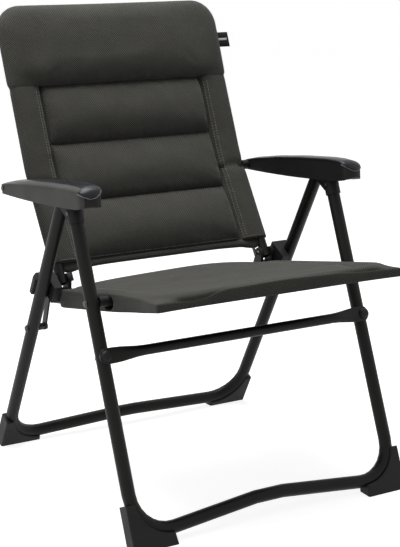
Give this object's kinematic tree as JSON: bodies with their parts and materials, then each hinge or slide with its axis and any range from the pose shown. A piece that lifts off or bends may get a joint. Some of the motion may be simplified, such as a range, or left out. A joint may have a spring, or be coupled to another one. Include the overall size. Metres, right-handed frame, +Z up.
{
  "type": "folding armchair",
  "caption": "Folding camping armchair: two crossing leg frames, sling seat, high padded back that reclines in steps held by racks under the armrests, black coated tube frame, olive-grey fabric.",
  "frame": {"origin": "On the floor under the middle of the bounding box of the open, upright chair", "axes": "+Z up, front of the chair towards -Y, +X to the right as seen from the front"},
  "size_m": [0.6074, 0.6918, 0.8932],
  "materials": {
    "frame_paint": "satin",
    "moulded": "matte",
    "armrest_top": "satin gloss",
    "fasteners": "satin",
    "fabric": "woven mesh",
    "tag": "woven tape"
  },
  "bodies": {
    "front_frame": {"front_leg_frame": "frame_paint", "front_crossbar": "frame_paint", "crossbar_bolt_left": "moulded", "crossbar_bolt_right": "moulded", "front_foot_left": "moulded", "front_foot_right": "moulded", "leg_head_left": "moulded", "leg_head_right": "moulded", "leg_head_rivet_left": "fasteners", "leg_head_rivet_right": "fasteners", "seat_pivot_bolt_left": "fasteners", "seat_pivot_bolt_right": "fasteners", "seat_pivot_spacer_left": "moulded", "seat_pivot_spacer_right": "moulded"},
    "rear_frame": {"rear_leg_frame": "frame_paint", "rear_foot_left": "moulded", "rear_foot_right": "moulded", "rear_leg_knuckle_left": "moulded", "rear_leg_knuckle_right": "moulded", "ratchet_pin_left": "fasteners", "ratchet_pin_right": "fasteners", "link_pin_left": "fasteners", "link_pin_right": "fasteners"},
    "seat": {"seat_frame_tube": "frame_paint", "seat_yoke_left": "moulded", "seat_yoke_right": "moulded", "seat_cover": "fabric"},
    "hinge_pins": {"hinge_pin_left": "fasteners", "hinge_pin_right": "fasteners", "back_hem_rod": "fasteners", "back_hem": "fabric"},
    "link_left": {"leg_link_left": "frame_paint", "leg_saddle_left": "moulded"},
    "link_right": {"leg_link_right": "frame_paint", "leg_saddle_right": "moulded"},
    "back": {"back_frame_tube": "frame_paint", "back_cover": "fabric", "back_cushion": "fabric", "side_tag": "tag"},
    "armrest_pivots": {"armrest_pivot_pin_left": "fasteners", "armrest_pivot_pin_right": "fasteners", "armrest_spacer_left": "moulded", "armrest_spacer_right": "moulded"},
    "armrest_left": {"armrest_shell_left": "moulded", "armrest_cap_left": "armrest_top", "armrest_rack_inner_left": "fasteners", "armrest_rack_outer_left": "fasteners"},
    "armrest_right": {"armrest_shell_right": "moulded", "armrest_cap_right": "armrest_top", "armrest_rack_inner_right": "fasteners", "armrest_rack_outer_right": "fasteners"}
  },
  "joints": [
    {"name": "fold", "type": "hinge", "parent": "front_frame", "child": "seat", "pos_m": [0, -0.15027, 0.40399], "axis": [1, 0, 0], "range_deg": [-95, 0]},
    {"name": "rear_leg_fold", "type": "hinge", "parent": "front_frame", "child": "rear_frame", "pos_m": [0, -0.0431, 0.578], "axis": [1, 0, 0], "range_deg": [-51.6, 0]},
    {"name": "link_left_fold", "type": "hinge", "parent": "rear_frame", "child": "link_left", "pos_m": [-0.25575, 0.11274, 0.29098], "axis": [1, 0, 0], "range_deg": [-152.3, 0]},
    {"name": "link_right_fold", "type": "hinge", "parent": "rear_frame", "child": "link_right", "pos_m": [0.25575, 0.11274, 0.29098], "axis": [1, 0, 0], "range_deg": [-152.3, 0]},
    {"name": "back_fold", "type": "hinge", "parent": "seat", "child": "hinge_pins", "pos_m": [0, 0.07921, 0.38802], "axis": [1, 0, 0], "range_deg": [0, 98.2]},
    {"name": "recline", "type": "hinge", "parent": "hinge_pins", "child": "back", "pos_m": [0, 0.07921, 0.38802], "axis": [1, 0, 0], "range_deg": [-20, 0]},
    {"name": "armrest_fold", "type": "hinge", "parent": "back", "child": "armrest_pivots", "pos_m": [0, 0.19073, 0.55525], "axis": [1, 0, 0], "range_deg": [-100, 0]},
    {"name": "armrest_left_tilt", "type": "hinge", "parent": "armrest_pivots", "child": "armrest_left", "pos_m": [-0.28, 0.19073, 0.55525], "axis": [1, 0, 0], "range_deg": [0, 11.32]},
    {"name": "armrest_right_tilt", "type": "hinge", "parent": "armrest_pivots", "child": "armrest_right", "pos_m": [0.28, 0.19073, 0.55525], "axis": [1, 0, 0], "range_deg": [0, 11.32]}
  ],
  "couplings": [
    {"joint": "rear_leg_fold", "follows": "fold", "ratio": 0.5421},
    {"joint": "link_left_fold", "follows": "fold", "ratio": 1.6},
    {"joint": "link_right_fold", "follows": "fold", "ratio": 1.6},
    {"joint": "back_fold", "follows": "fold", "ratio": -1.0316},
    {"joint": "armrest_fold", "follows": "fold", "ratio": 1.0505},
    {"joint": "armrest_left_tilt", "follows": "recline", "ratio": -0.565},
    {"joint": "armrest_right_tilt", "follows": "recline", "ratio": -0.565}
  ]
}
